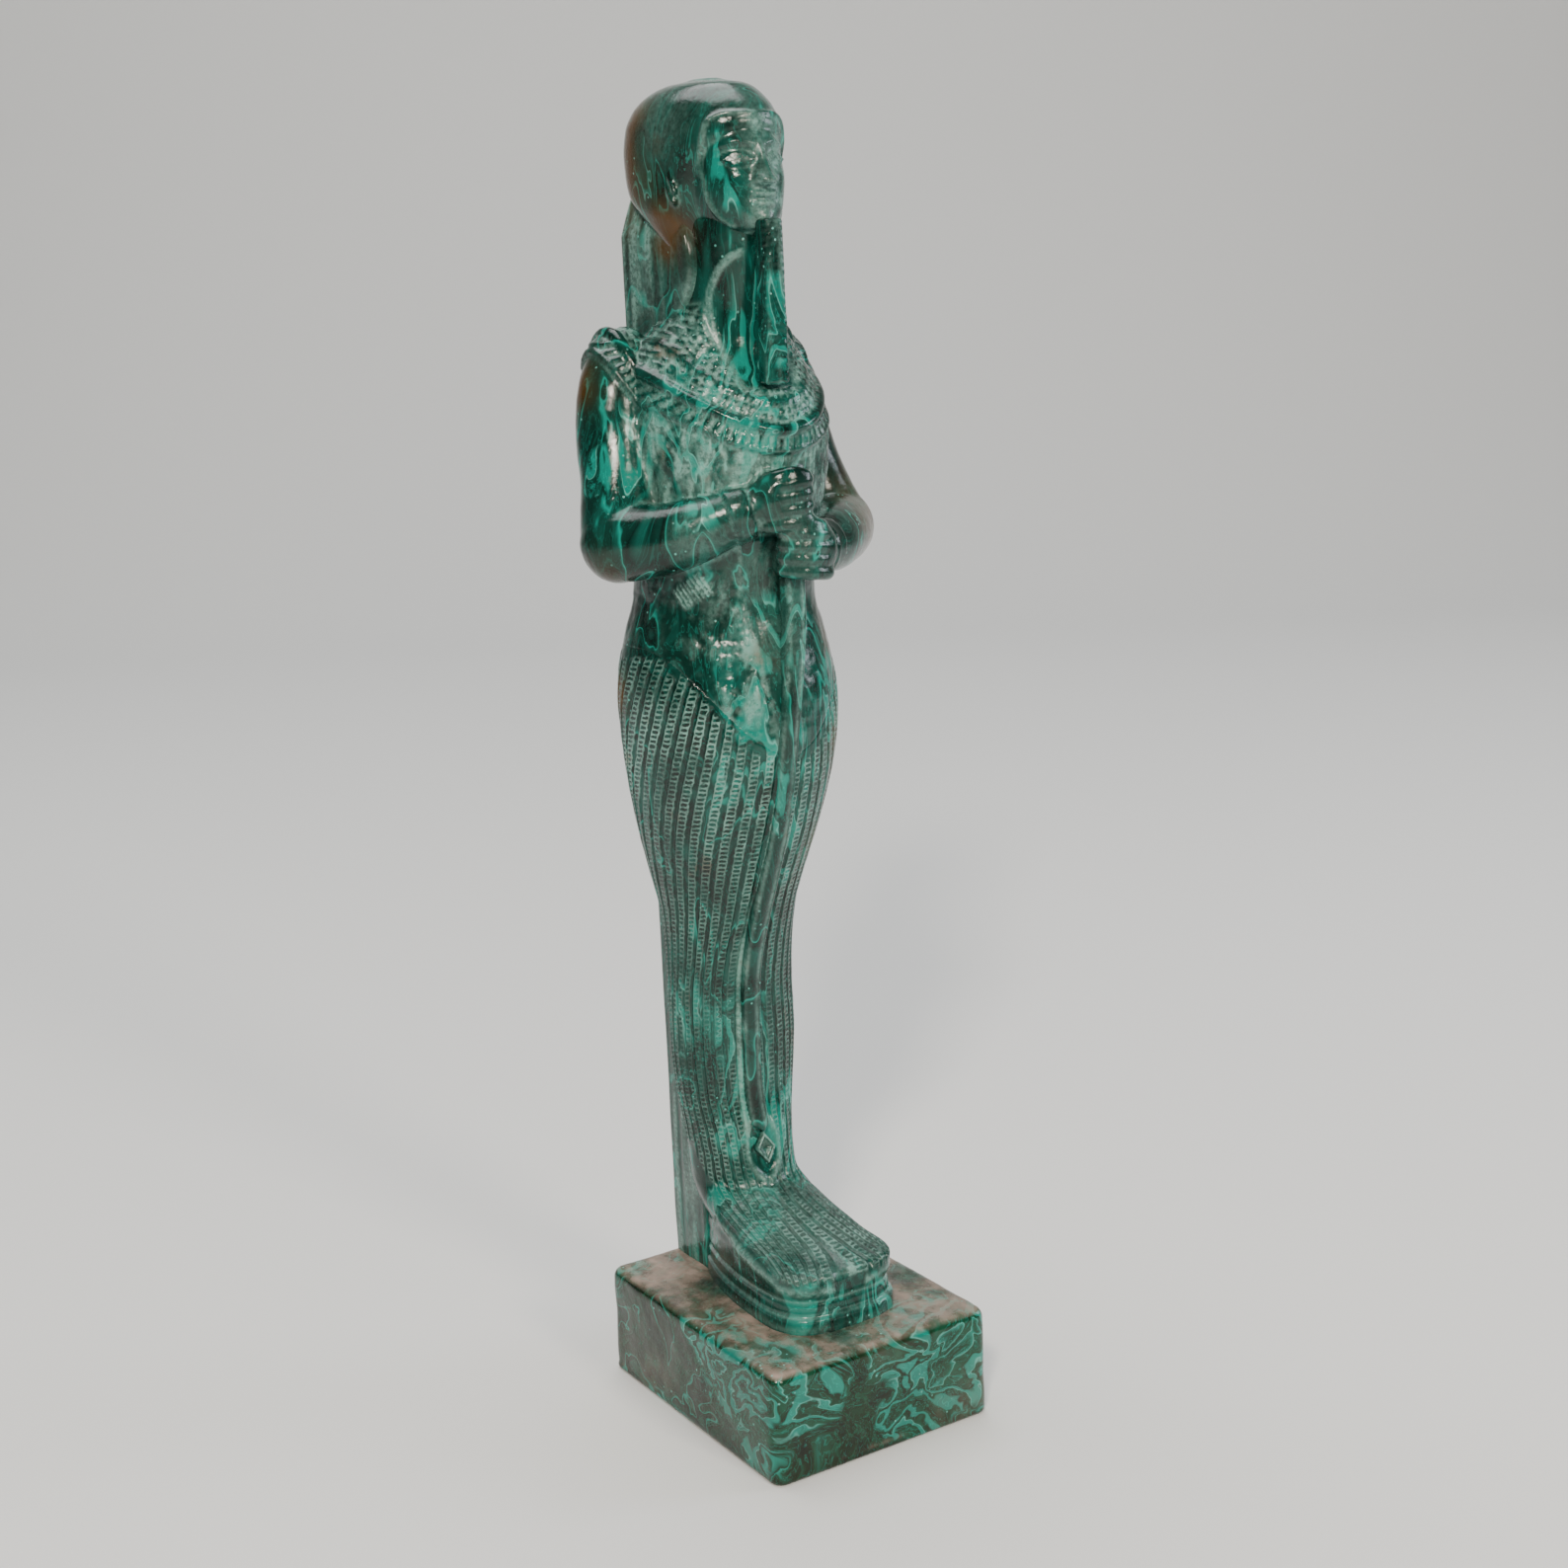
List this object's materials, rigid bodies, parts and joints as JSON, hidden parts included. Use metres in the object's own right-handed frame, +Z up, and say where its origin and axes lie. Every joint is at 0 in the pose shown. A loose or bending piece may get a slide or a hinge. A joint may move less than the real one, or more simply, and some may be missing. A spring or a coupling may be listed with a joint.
{
  "type": "mummiform deity statuette",
  "caption": "Cast statuette of a shrouded standing deity with skull cap, beard and staff, on its own rectangular block.",
  "frame": {"origin": "centre of the block's underside", "axes": "+Z up, the figure faces -Y, its left side is towards +X"},
  "size_m": [0.0729, 0.073, 0.297],
  "materials": {
    "marbled_cast_stone": "gloss"
  },
  "bodies": {
    "root": {"statue": "marbled_cast_stone"}
  },
  "joints": []
}
